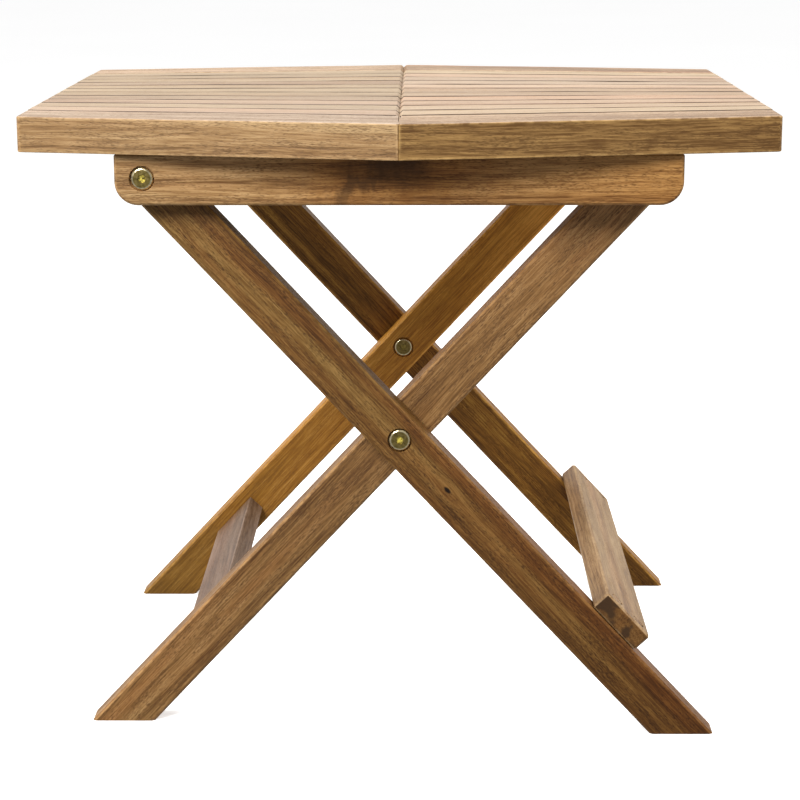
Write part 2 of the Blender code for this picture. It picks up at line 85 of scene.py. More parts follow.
# The top: sizes that the boxes of the CAD nodes don't give, and how uneven its boards are
TOP_TAPER = 0.2
BOARD_EASING = 0.001
EDGE_BOARD_CORNERS = (0.0001, 0.0034)
EDGE_BOARD_ROUNDING = 0.0012
SLAT_CORNERS = (0.0012, 0.0010)
SLAT_ROUNDING = 0.0004
BOARD_STATIONS = 14
SIDE_WAVE = 0.00022
TOP_SAG = 0.00018
SEAM_CHAMFER = 0.0021
SEAM_CLOSURE = 0.00028
# How far below a board's top face its painted sheen reaches
TOP_SHEEN_DEPTH = 0.0005

# The legs and stretchers
KNOT_PAST_CROSS = 0.048
TENON_RADIUS = 0.007
TENON_LENGTH = 0.0125
BAR_EASING = 0.0009
PLUG_GAP = 0.0006
PLUG_SHIFT = 0.0003

# The hardware
HEAD_THICKNESS = 0.0024
HEAD_SEAT_GAP = 0.0003
SOCKET_ACROSS_FLATS = 0.005
SOCKET_DEPTH = 0.0014
SHANK_RADIUS = 0.003
SHANK_TIP = 0.0006
SLEEVE_RADIUS = 0.0045
SLEEVE_BORE_RADIUS = 0.0033
SLEEVE_BORE_FLOOR = 0.012
WASHER_HOLE_RADIUS = 0.00485
WASHER_EASING = 0.00015

# Mesh making: how close vertices are merged, and how many sides a round has, or one in wood
WELD = 2e-5
ROUND_SEGMENTS = 64
WOOD_SEGMENTS = 48

# Where a pin knot or a forked figure, which also paints shadow, is put on a piece that has none
FAR_AWAY = Vector((9, 9, 9))

# The tone that each wood's contrast spreads out from
MIDDLE_TONE = 0.58
# The end grain's warm tint, and that of the heartwood in the middle of the aprons, which also
# paints the shade under the top's overhang there
END_GRAIN_SHADE = (0.62, 0.46, 0.24)
HEARTWOOD_AND_SHADOW_SHADE = (0.84, 0.66, 0.40)
PLAIN = ((1, 1, 1), (1, 1, 1))
# One of these multiplies each slat's colour, and the right half's slats are paler throughout
SLAT_SHADES = (
    (1.04, 0.98, 0.97),
    (0.97, 0.96, 0.98),
    (1.03, 1.02, 0.94),
    (0.92, 0.88, 0.84),
    (1.06, 1.06, 1.02),
    (0.98, 0.92, 0.86),
)
RIGHT_HALF_SHADE = 1.17
# Painted sheen: the edge boards' top faces are made nearly as pale as the slats, paler than their
# sides
EDGE_BOARD_TOP_SHEEN = (1.22, 1.42, 2.10)
LEFT_FRONT_TOP_SHEEN = (0.95, 1.13, 1.75)
# What each piece's wood is multiplied by, at the first and the last end of its grain: partly
# its own colour and partly painted light, lifting the rear legs out of the shade under the top
# and darkening the outer front leg and the inner rear leg towards their feet
TINTS_AND_PAINTED_LIGHT = {
    "left_front_board": ((1.10, 1.14, 1.18), (1.05, 1.11, 1.17)),
    "right_front_board": ((1.20, 1.20, 1.00), (1.24, 1.22, 1.00)),
    "front_apron": ((1.26, 1.45, 1.75), (1.34, 1.26, 1.03)),
    "outer_leg_front": ((1.26, 1.40, 1.20), (0.84, 0.72, 0.43)),
    "outer_leg_rear": ((1.8, 1.8, 1.0), (1.75, 1.65, 0.8)),
    "inner_leg_front": ((1.26, 1.22, 1.18), (1.17, 1.19, 1.12)),
    "inner_leg_rear": ((1.95, 1.80, 1.70), (0.68, 0.72, 0.82)),
    "outer_stretcher": ((1.12, 1.2, 1.22), (0.95, 0.98, 0.92)),
    "inner_stretcher": ((0.55, 0.58, 0.76), (0.55, 0.58, 0.76)),
}
UP = Vector((0, 0, 1))
RIGHT = Vector((1, 0, 0))
REARWARD = Vector((0, 1, 0))

draw = random.Random(7)
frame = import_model()
NODES = frame["nodes"]
SLOTS = {part["node"]: part["material_slot"] for part in frame["record"]["subparts"]}
JOINT_PLACE = {joint["name"]: Vector(joint["pos_m"]) for joint in frame["joints"]}
CROSS = JOINT_PLACE["leg_fold"]
TOP_PIVOT = JOINT_PLACE["top_ride"]
ALONG_OUTER_LEG = (CROSS - TOP_PIVOT).normalized()
ALONG_INNER_LEG = Vector((-ALONG_OUTER_LEG.x, 0, ALONG_OUTER_LEG.z))


# ---------------------------------------------------------------- node helpers


class Graph:
    """Short calls that build one material's node tree."""

    def __init__(self, name):
        self.material = bpy.data.materials.new(name)
        self.material.use_nodes = True
        self.tree = self.material.node_tree
        self.shader = self.tree.nodes["Principled BSDF"]

    def put(self, socket, value):
        if isinstance(value, bpy.types.NodeSocket):
            self.tree.links.new(value, socket)
        else:
            socket.default_value = value

    def add(self, kind, inputs, **settings):
        made = self.tree.nodes.new(kind)
        for name, value in settings.items():
            setattr(made, name, value)
        for key, value in inputs.items():
            self.put(made.inputs[key], value)
        return made

    def attribute(self, name):
        return self.add("ShaderNodeAttribute", {}, attribute_name=name).outputs["Vector"]

    def math(self, operation, *values, clamp=False):
        inputs = dict(enumerate(values))
        made = self.add("ShaderNodeMath", inputs, operation=operation, use_clamp=clamp)
        return made.outputs[0]

    def vector(self, operation, *values):
        made = self.add("ShaderNodeVectorMath", dict(enumerate(values)), operation=operation)
        return made.outputs["Value" if operation == "LENGTH" else "Vector"]

    def axes(self, vector):
        parts = self.add("ShaderNodeSeparateXYZ", {0: vector}).outputs
        return parts[0], parts[1], parts[2]

    def noise(self, place, scale, detail=2.0, roughness=0.5, output="Fac"):
        """Noise at a scale, which may be one number for each axis of the place."""
        if isinstance(scale, tuple):
            place = self.vector("MULTIPLY", place, scale)
            scale = 1.0
        inputs = {"Vector": place, "Scale": scale, "Detail": detail, "Roughness": roughness}
        return self.add("ShaderNodeTexNoise", inputs).outputs[output]

    def between(self, value, low, high, first=0.0, second=1.0):
        """The value taken smoothly from (low, high) to (first, second)."""
        inputs = {
            "Value": value,
            "From Min": low,
            "From Max": high,
            "To Min": first,
            "To Max": second,
        }
        made = self.add("ShaderNodeMapRange", inputs, interpolation_type="SMOOTHSTEP")
        return made.outputs["Result"]

    def mix(self, share, first, second, blend="MIX"):
        made = self.add("ShaderNodeMix", {0: share}, data_type="RGBA", blend_type=blend)
        for index, colour in ((6, first), (7, second)):
            flat = colour if isinstance(colour, bpy.types.NodeSocket) else (*colour, 1.0)
            self.put(made.inputs[index], flat)
        return made.outputs[2]

    def ramp(self, value, stops):
        made = self.add("ShaderNodeValToRGB", {0: value})
        points = made.color_ramp.elements
        while len(points) < len(stops):
            points.new(0.5)
        for point, (place, colour) in zip(points, stops):
            point.position = place
            point.color = (*colour, 1.0)
        return made.outputs[0]

    def bump(self, height, strength, distance):
        inputs = {"Height": height, "Strength": strength, "Distance": distance}
        return self.add("ShaderNodeBump", inputs).outputs[0]

    def finish(self, **sockets):
        """Sets or links the shader's sockets by their short names, and returns the material."""
        names = {"colour": "Base Color", "roughness": "Roughness", "normal": "Normal"}
        names.update(metallic="Metallic", specular="Specular IOR Level")
        for key, value in sockets.items():
            self.put(self.shader.inputs[names[key]], value)
        return self.material


# ---------------------------------------------------------------- materials


def shaded(colour, factor):
    """The colour, darkened or brightened."""
    return tuple(channel * factor for channel in colour)


def wandering_grain(g, grain):
    """The grain's place, pulled aside round a pin knot and wandering, and the knot's distance."""
    from_knot = g.vector("SUBTRACT", grain, g.attribute("knot"))
    knot_distance = g.vector("LENGTH", g.vector("MULTIPLY", from_knot, (0.45, 1.0, 1.0)))
    knot_pull = g.between(knot_distance, 0.009, 0.0, 0.0, 0.6)
    aside = g.vector("MULTIPLY", from_knot, (0.0, 1.0, 1.0))
    aside = g.add("ShaderNodeVectorMath", {0: aside, "Scale": knot_pull}, operation="SCALE")
    bent = g.vector("SUBTRACT", grain, aside.outputs["Vector"])
    wander = g.noise(grain, (7.0, 24.0, 24.0), 2.0, 0.45, output="Color")
    wander = g.vector("MULTIPLY_ADD", wander, (0.0, 0.006, 0.006), (0.0, -0.003, -0.003))
    return g.vector("ADD", bent, wander), knot_distance


def forked_figure_and_shadow(g, grain):
    """The shares of a dark forked figure, one patch and one slanting limb, and of the redder
    heartwood round it, which on the apron also paint the shadow under the top's overhang.
    A piece without a figure has it far away."""
    from_fork = g.vector("SUBTRACT", grain, g.attribute("figure"))
    wander = g.noise(grain, (70.0, 25.0, 25.0), 3.0, 0.6, output="Color")
    wander = g.vector("MULTIPLY_ADD", wander, (0.05, 0.03, 0.03), (-0.025, -0.015, -0.015))
    place = g.vector("ADD", from_fork, wander)
    distance = g.vector("LENGTH", g.vector("MULTIPLY", place, (0.5, 0.8, 0.8)))
    along, aside, _ = g.axes(place)
    from_limb = g.math("ABSOLUTE", g.math("MULTIPLY_ADD", aside, 1.2, along))
    limb = g.math("MULTIPLY", g.between(from_limb, 0.014, 0.003), g.between(distance, 0.04, 0.02))
    fork_and_shadow = g.between(distance, 0.024, 0.003, 0.0, 0.95)
    fork_and_shadow = g.math("MAXIMUM", fork_and_shadow, g.math("MULTIPLY", limb, 0.7))
    return fork_and_shadow, g.between(distance, 0.050, 0.010)


def growth_rings(g, bent):
    """Rings round the heart, clear in some places and faint in others."""
    ring_inputs = {
        "Vector": g.vector("MULTIPLY", bent, (0.05, 1.0, 1.0)),
        "Scale": 96.0,
        "Distortion": 3.4,
        "Detail": 3.0,
        "Detail Scale": 0.9,
    }
    wave = g.add("ShaderNodeTexWave", ring_inputs, wave_type="RINGS", rings_direction="X")
    area = g.noise(bent, (5.0, 60.0, 60.0), 1.0, 0.5)
    return g.math("MULTIPLY", wave.outputs["Fac"], g.between(area, 0.35, 0.65, 0.25, 1.0))


def dark_pores(g, bent, board_fleck):
    """Short dark dashes along the grain, crowded in some places."""
    field = g.noise(bent, (330.0, 1900.0, 1900.0), 1.5, 0.5)
    area = g.noise(bent, (20.0, 170.0, 170.0), 2.0, 0.5)
    limit = g.between(area, 0.32, 0.68, 0.60, 0.44)
    pore = g.math("MULTIPLY", g.math("SUBTRACT", field, limit), 5.0, clamp=True)
    return g.math("MULTIPLY", pore, board_fleck)


def rubbed_and_highlit_edges(g, grain, far):
    """The share of pale wood along the eased edges, where two of the faces are near: partly rubbed
    wear and partly a painted highlight.
    """
    far_x, far_y, far_z = far
    nearer = g.math("MINIMUM", far_x, far_y)
    farther = g.math("MAXIMUM", far_x, far_y)
    edge = g.math("MAXIMUM", nearer, g.math("MINIMUM", farther, far_z))
    rub_and_highlight = g.between(edge, 0.0026, 0.0002)
    return g.math("MULTIPLY", rub_and_highlight, g.between(g.noise(grain, 160.0, 3.0), 0.4, 0.62, 0.1, 0.5))


def wood_material(
    name, light, middle, dark, red, rings=0.20, fleck=0.75, roughness=0.46, sawn=0.0,
    painted_gap_shadow=0.0, contrast=1.15, gloss=0.28,
):
    """Solid hardwood that reads the plank attributes: rings round an off-piece heart, long
    streaks, fibres, short dark pores, patches of redder heartwood, pin knots, a forked figure
    with redder heartwood round it that also paints the shadow under the top's overhang, darker
    end grain, a painted shadow down the sides of the slats where the gaps between them are in
    shade, edges made paler by wear and by a painted highlight, and the piece's own tint, which
    also carries painted light. The rings number is their share of the contrast, and sawn adds saw
    marks."""
    g = Graph(name)
    grain = g.attribute("grain")
    board_tone, board_red, board_fleck = g.axes(g.attribute("board"))
    bent, knot_distance = wandering_grain(g, grain)
    fork_and_shadow, heartwood = forked_figure_and_shadow(g, grain)
    ring = growth_rings(g, bent)
    streak = g.noise(bent, (1.5, 120.0, 120.0), 5.0, 0.66)
    fibre = g.noise(bent, (42.0, 1050.0, 1050.0), 3.0, 0.62)
    patch = g.noise(bent, (5.0, 42.0, 42.0), 2.0, 0.5)
    ripple = g.noise(bent, (120.0, 34.0, 34.0), 2.0, 0.55)
    pore = dark_pores(g, bent, board_fleck)

    tone = g.math("MULTIPLY", g.between(streak, 0.3, 0.7), 0.34)
    tone = g.math("MULTIPLY_ADD", ring, rings, tone)
    tone = g.math("MULTIPLY_ADD", g.between(fibre, 0.34, 0.66), 0.40, tone)
    tone = g.math("MULTIPLY_ADD", g.between(patch, 0.3, 0.7), 0.22, tone)
    tone = g.math("MULTIPLY_ADD", ripple, 0.10, tone)
    tone = g.math("MULTIPLY_ADD", tone, contrast, MIDDLE_TONE * (1 - contrast))
    tone = g.math("ADD", tone, board_tone)
    colour = g.ramp(tone, ((0.22, dark), (0.62, middle), (1.0, light)))
    red_area = g.noise(bent, (3.0, 38.0, 38.0), 2.0, 0.5)
    redness = g.math("MULTIPLY", g.between(red_area, 0.40, 0.66), board_red)
    colour = g.mix(redness, colour, red, blend="MULTIPLY")
    colour = g.mix(g.math("MULTIPLY", pore, fleck), colour, shaded(dark, 0.8))

    centred = g.vector("ABSOLUTE", g.attribute("centred"))
    far = g.axes(g.vector("SUBTRACT", g.attribute("half"), centred))
    far_x, far_y, _ = far
    # Eased edges made paler: partly wear, partly a painted highlight along them
    colour = g.mix(rubbed_and_highlit_edges(g, grain, far), colour, shaded(light, 1.25))
    # Painted shadow: the wood darkens within a millimetre of its long sides, where the gaps between
    # the slats are in shade
    if painted_gap_shadow:
        side = g.between(far_y, 0.0010, 0.0003, 0.0, painted_gap_shadow)
        colour = g.mix(side, colour, shaded(dark, 0.3))
    end = g.between(far_x, 0.0004, 0.0001)
    end_patch = g.noise(bent, (60.0, 75.0, 75.0), 2.0)
    end_share = g.math("MULTIPLY", end, g.between(end_patch, 0.42, 0.56, 0.05, 0.95))
    colour = g.mix(end, colour, END_GRAIN_SHADE, blend="MULTIPLY")
    colour = g.mix(end_share, colour, shaded(dark, 0.5))
    colour = g.mix(g.between(knot_distance, 0.0019, 0.0008), colour, shaded(dark, 0.22))
    # Redder heartwood and a dark fork: the wood's figure, and also painted shadow under the top's
    # overhang
    colour = g.mix(heartwood, colour, HEARTWOOD_AND_SHADOW_SHADE, blend="MULTIPLY")
    colour = g.mix(fork_and_shadow, colour, shaded(dark, 0.5))
    # The piece's tint, which also carries painted light: the lifts and darkenings of the tints and
    # the painted sheen on the edge boards' tops
    colour = g.mix(1.0, colour, g.attribute("tint"), blend="MULTIPLY")

    rough = g.math("MULTIPLY_ADD", fibre, 0.16, roughness - 0.08)
    rough = g.math("MULTIPLY_ADD", pore, 0.22, rough)
    rough = g.math("MULTIPLY_ADD", end, 0.15, rough)
    height = g.math("MULTIPLY_ADD", fibre, 0.45, g.math("MULTIPLY", ring, 0.25))
    height = g.math("MULTIPLY_ADD", pore, -0.7, height)
    height = g.math("MULTIPLY_ADD", g.noise(grain, (18.0, 60.0, 60.0), 2.0), 1.4, height)
    if sawn:
        teeth = g.noise(grain, (900.0, 12.0, 12.0), 1.0)
        height = g.math("MULTIPLY_ADD", teeth, sawn, height)
    normal = g.bump(height, 0.5, 0.00025)
    return g.finish(colour=colour, roughness=rough, normal=normal, specular=gloss)


def brass_material(name):
    """Antiqued brass: brown-green toning over the flats, bright round the rim where it is rubbed and
    where a highlight is painted, a painted yellow glint inside the socket, with faint turning marks
    round the head."""
    g = Graph(name)
    radius, depth, glint_strength = g.axes(g.attribute("turned"))
    spot = g.attribute("metal_place")
    mottle = g.noise(spot, 520.0, 4.0, 0.6)
    fine = g.noise(spot, 2600.0, 2.0, 0.5)
    toning = g.math("MULTIPLY_ADD", fine, 0.35, mottle)
    colour = g.ramp(
        toning, ((0.35, (0.12, 0.088, 0.024)), (0.66, (0.29, 0.22, 0.07)), (0.9, (0.42, 0.32, 0.12)))
    )
    # The rim: partly rubbed brass, partly a painted highlight, bright all round
    rubbing = g.between(mottle, 0.3, 0.6, 0.6, 1.0)
    rim = g.math("MULTIPLY", g.between(radius, 0.0056, 0.0063), rubbing)
    colour = g.mix(rim, colour, (0.95, 0.84, 0.56))
    # Painted glint: a bright yellow spot in the socket's floor, strong on bolts and faint on nuts
    below_face = g.between(depth, HEAD_THICKNESS - 0.0001, HEAD_THICKNESS - 0.0005)
    socket = g.math("MULTIPLY", g.between(radius, 0.0030, 0.0018, 0.25, 1.0), below_face)
    glint = g.math("MULTIPLY", g.math("MULTIPLY", socket, glint_strength), g.between(mottle, 0.35, 0.6))
    colour = g.mix(glint, colour, (1.0, 0.82, 0.14))
    rough = g.math("MULTIPLY_ADD", mottle, 0.3, 0.2)
    rough = g.math("MULTIPLY_ADD", rim, -0.12, rough)
    marks = g.math("SINE", g.math("MULTIPLY", radius, 26000.0))
    height = g.math("MULTIPLY_ADD", marks, 0.06, g.math("MULTIPLY", mottle, 0.5))
    normal = g.bump(height, 0.35, 0.00012)
    # Less metallic where the painted glint is, so that it shows under diffuse light
    metal = g.math("MULTIPLY_ADD", glint, -0.6, 1.0)
    return g.finish(colour=colour, roughness=rough, normal=normal, metallic=metal)


def steel_material(name):
    """Zinc-plated steel: spangled grey with a faint yellow cast and dark specks."""
    g = Graph(name)
    spot = g.add("ShaderNodeTexCoord", {}).outputs["Object"]
    spangle = g.noise(spot, 900.0, 3.0, 0.6)
    colour = g.ramp(spangle, ((0.3, (0.20, 0.19, 0.165)), (0.7, (0.50, 0.49, 0.45))))
    rough = g.math("MULTIPLY_ADD", spangle, 0.35, 0.22)
    normal = g.bump(spangle, 0.3, 0.0001)
    return g.finish(colour=colour, roughness=rough, normal=normal, metallic=1.0)


def nylon_material(name):
    """Black nylon: scuffed, with the fine grain of the mould."""
    g = Graph(name)
    spot = g.attribute("metal_place")
    scuff = g.noise(spot, 700.0, 4.0, 0.6)
    colour = g.ramp(scuff, ((0.35, (0.010, 0.010, 0.011)), (0.75, (0.035, 0.034, 0.033))))
    rough = g.math("MULTIPLY_ADD", scuff, 0.3, 0.38)
    normal = g.bump(g.noise(spot, 3200.0, 2.0), 0.25, 0.0001)
    return g.finish(colour=colour, roughness=rough, normal=normal)


def floor_material(name):
    """Pale studio paper, faintly cloudy, that glows enough to lose its shadows."""
    g = Graph(name)
    place = g.add("ShaderNodeTexCoord", {}).outputs["Object"]
    cloud = g.noise(place, 1.3, 3.0)
    colour = g.ramp(cloud, ((0.3, (0.93, 0.93, 0.93)), (0.7, (0.95, 0.95, 0.95))))
    rough = g.math("MULTIPLY_ADD", cloud, 0.1, 0.75)
    g.shader.inputs["Emission Color"].default_value = (1.0, 1.0, 1.0, 1.0)
    g.shader.inputs["Emission Strength"].default_value = FLOOR_GLOW
    return g.finish(colour=colour, roughness=rough, specular=0.2)


def make_materials():
    """One material for each kind of wood or metal, by its short name."""
    return {
        "slat": wood_material(
            "pale_slat_wood",
            light=(0.42, 0.325, 0.225),
            middle=(0.335, 0.246, 0.162),
            dark=(0.20, 0.127, 0.072),
            red=(1.0, 0.88, 0.82),
            rings=0.14,
            fleck=0.25,
            # The slats' sides carry a painted shadow, the shade in the gaps between them
            painted_gap_shadow=0.97,
            contrast=0.75,
            gloss=0.4,
        ),
        "edge_board": wood_material(
            "edge_board_wood",
            light=(0.46, 0.290, 0.135),
            middle=(0.30, 0.172, 0.070),
            dark=(0.115, 0.055, 0.019),
            red=(0.95, 0.80, 0.72),
            contrast=0.95,
        ),
        "apron": wood_material(
            "apron_wood",
            light=(0.44, 0.245, 0.095),
            middle=(0.29, 0.146, 0.048),
            dark=(0.115, 0.046, 0.011),
            red=(1.0, 0.76, 0.60),
        ),
        "batten": wood_material(
            "batten_wood",
            light=(0.28, 0.165, 0.08),
            middle=(0.17, 0.092, 0.040),
            dark=(0.07, 0.034, 0.013),
            red=(1.0, 0.8, 0.7),
            roughness=0.66,
            sawn=0.8,
        ),
        "outer_leg": wood_material(
            "outer_leg_wood",
            light=(0.275, 0.150, 0.054),
            middle=(0.148, 0.068, 0.019),
            dark=(0.048, 0.018, 0.004),
            red=(1.0, 0.76, 0.66),
            contrast=0.95,
        ),
        "inner_leg": wood_material(
            "inner_leg_wood",
            light=(0.38, 0.222, 0.092),
            middle=(0.225, 0.117, 0.040),
            dark=(0.080, 0.034, 0.010),
            red=(1.0, 0.78, 0.66),
            contrast=0.95,
        ),
        "amber_leg": wood_material(
            "amber_leg_wood",
            light=(0.48, 0.250, 0.050),
            middle=(0.32, 0.145, 0.018),
            dark=(0.155, 0.060, 0.006),
            red=(1.0, 0.86, 0.76),
            rings=0.16,
            fleck=0.35,
            contrast=0.9,
        ),
        "stretcher": wood_material(
            "stretcher_wood",
            light=(0.40, 0.255, 0.135),
            middle=(0.26, 0.148, 0.066),
            dark=(0.10, 0.045, 0.016),
            red=(1.0, 0.80, 0.70),
            fleck=0.35,
            contrast=0.9,
        ),
        "brass": brass_material("antique_brass"),
        "steel": steel_material("zinc_steel"),
        "nylon": nylon_material("black_nylon"),
    }


# ---------------------------------------------------------------- mesh helpers


def to_mesh(name, bm, sharp_angle=38.0):
    """A smooth shaded mesh with its normals outwards, sharp past an angle in degrees."""
    bmesh.ops.recalc_face_normals(bm, faces=bm.faces)
    mesh = bpy.data.meshes.new(name)
    bm.to_mesh(mesh)
    bm.free()
    mesh.shade_smooth()
    mesh.set_sharp_from_angle(angle=math.radians(sharp_angle))
    return mesh


def store(mesh, name, values):
    """Keeps one vector for each vertex under a name that the materials read."""
    layer = mesh.attributes.new(name, "FLOAT_VECTOR", "POINT")
    layer.data.foreach_set("vector", [axis for value in values for axis in value])


def lay_grain(
    mesh, along, up, tone=0.0, red=0.5, fleck=1.0, knot=None, heart=None, across=None, tints=PLAIN,
    top_sheen_tint=None, figure=None,
):
    """Stores where each vertex lies in its plank: x along the grain, z up through its face.

    The heart is how far the middle of the piece lies from the tree's heart, across and up.
    Where the piece tapers, across gives a point's place between its sides and half its width.
    The tints are the shades that its colour is multiplied by at its two ends, partly painted light,
    and the top sheen tint replaces them on its top face as a painted sheen. The figure is where a
    forked figure starts, if it has one, which also paints the shadow under the top's overhang.
    """
    along = along.normalized()
    sideways = up.cross(along).normalized()
    turn = Matrix((along, sideways, along.cross(sideways)))
    local = [turn @ vertex.co for vertex in mesh.vertices]
    low = Vector([min(point[axis] for point in local) for axis in range(3)])
    high = Vector([max(point[axis] for point in local) for axis in range(3)])
    middle = (low + high) / 2
    if heart is None:
        heart = (draw.uniform(-0.03, 0.03), draw.choice((-1, 1)) * draw.uniform(0.035, 0.08))
    shift = Vector((draw.uniform(0, 9), *heart))
    centred = [point - middle for point in local]
    count = len(mesh.vertices)
    half = (high - low) / 2
    store(mesh, "grain", [point + shift for point in centred])
    if across is not None:
        for vertex, point in zip(mesh.vertices, centred):
            point.y, half.y = across(vertex.co)
    first, last = (Vector(tint) for tint in tints)
    shades = [first.lerp(last, (point.x + half.x) / (2 * half.x)) for point in centred]
    # Painted sheen: the top face takes its own paler tint
    if top_sheen_tint:
        for index, point in enumerate(centred):
            if point.z > half.z - TOP_SHEEN_DEPTH:
                shades[index] = Vector(top_sheen_tint)
    store(mesh, "centred", centred)
    store(mesh, "half", [half] * count)
    store(mesh, "tint", shades)
    store(mesh, "board", [(tone, red, fleck)] * count)
    for name, point in (("figure", figure), ("knot", knot)):
        spot = FAR_AWAY if point is None else turn @ point - middle + shift
        store(mesh, name, [spot] * count)
    return mesh


def add_piece(name, mesh, paint, nodes):
    """A piece that stands for those CAD nodes, rides as the first of them does, and takes the given
    paint.
    """
    mesh.materials.append(paint)
    piece = bpy.data.objects.new(name, mesh)
    bpy.context.scene.collection.objects.link(piece)
    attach(piece, NODES[nodes[0]]["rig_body"])
    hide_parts(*nodes)
    weigh = piece.modifiers.new("even_normals", "WEIGHTED_NORMAL")
    weigh.keep_sharp = True
    return piece


def refined(node, rounding=0.0004):
    """The CAD node's own shape, welded and with its eased edges rounded further."""
    bm = bmesh.new()
    bm.from_mesh(NODES[node].data)
    bmesh.ops.remove_doubles(bm, verts=bm.verts, dist=WELD)
    flat = math.radians(0.5)
    bmesh.ops.dissolve_limit(bm, angle_limit=flat, verts=bm.verts, edges=bm.edges)
    corners = [
        edge
        for edge in bm.edges
        if len(edge.link_faces) == 2 and edge.calc_face_angle() > math.radians(28)
    ]
    bmesh.ops.bevel(
        bm,
        geom=corners,
        offset=rounding,
        offset_type="OFFSET",
        segments=2,
        profile=0.5,
        affect="EDGES",
        clamp_overlap=True,
    )
    return to_mesh(node, bm)


def lathe(bm, profile, segments=ROUND_SEGMENTS):
    """Turns (radius, height) points about Z. Returns the first and the last ring."""
    rings = []
    for radius, height in profile:
        if radius == 0:
            rings.append([bm.verts.new((0, 0, height))])
            continue
        turns = [2 * math.pi * i / segments for i in range(segments)]
        rings.append(
            [bm.verts.new((radius * math.cos(t), radius * math.sin(t), height)) for t in turns]
        )
    for first, second in zip(rings, rings[1:]):
        for i in range(segments):
            after = (i + 1) % segments
            corners = [
                first[i % len(first)],
                first[after % len(first)],
                second[after % len(second)],
                second[i % len(second)],
            ]
            bm.faces.new(list(dict.fromkeys(corners)))
    return rings[0], rings[-1]


def ring_edges(bm, ring):
    """The edges round a ring of vertices, made where they are missing."""
    edges = []
    for i, vertex in enumerate(ring):
        after = ring[(i + 1) % len(ring)]
        edges.append(bm.edges.get((vertex, after)) or bm.edges.new((vertex, after)))
    return edges


def sink_recess(bm, rim, outline, top, depth, lead_in, floor_drop):
    """Fills a flat head inside the rim, and sinks a recess of that XY outline into it. The
    lead-in is how far the recess is eased at its mouth, and its floor drops to the middle."""

    def loop(scale, height):
        return [bm.verts.new((x * scale, y * scale, height)) for x, y in outline]

    reach = max(math.hypot(x, y) for x, y in outline)
    loops = [loop(1 + lead_in / reach, top), loop(1.0, top - lead_in), loop(1.0, top - depth)]
    bmesh.ops.triangle_fill(
        bm, use_beauty=True, edges=ring_edges(bm, rim) + ring_edges(bm, loops[0])
    )
    for first, second in zip(loops, loops[1:]):
        for i in range(len(outline)):
            after = (i + 1) % len(outline)
            bm.faces.new((first[i], first[after], second[after], second[i]))
    tip = bm.verts.new((0, 0, top - depth - floor_drop))
    for i in range(len(outline)):
        after = (i + 1) % len(outline)
        bm.faces.new((loops[-1][i], loops[-1][after], tip))


def stand(mesh, place, direction, spin=0.0, glint_strength=1.0):
    """Turns a mesh's own Z to a direction and moves it to its place, keeping its own coordinates
    in attributes for the metal materials. The glint strength is how bright the painted glint in its
    socket is."""
    flat = [(math.hypot(v.co.x, v.co.y), v.co.z, glint_strength) for v in mesh.vertices]
    store(mesh, "turned", flat)
    offset = Vector((draw.uniform(0, 3), 0, 0))
    store(mesh, "metal_place", [v.co + offset for v in mesh.vertices])
    turn = direction.to_track_quat("Z", "Y").to_matrix().to_4x4()
    mesh.transform(Matrix.Translation(place) @ turn @ Matrix.Rotation(spin, 4, "Z"))
    return mesh


# ---------------------------------------------------------------- the top


def spread(point, end, middle, half_width):
    """How far a point lies across a tapering board, as if the board were as wide as at the seam."""
    across = point.y / (1 - TOP_TAPER * abs(point.x) / end) - middle
    return max(-half_width, min(half_width, across)), half_width


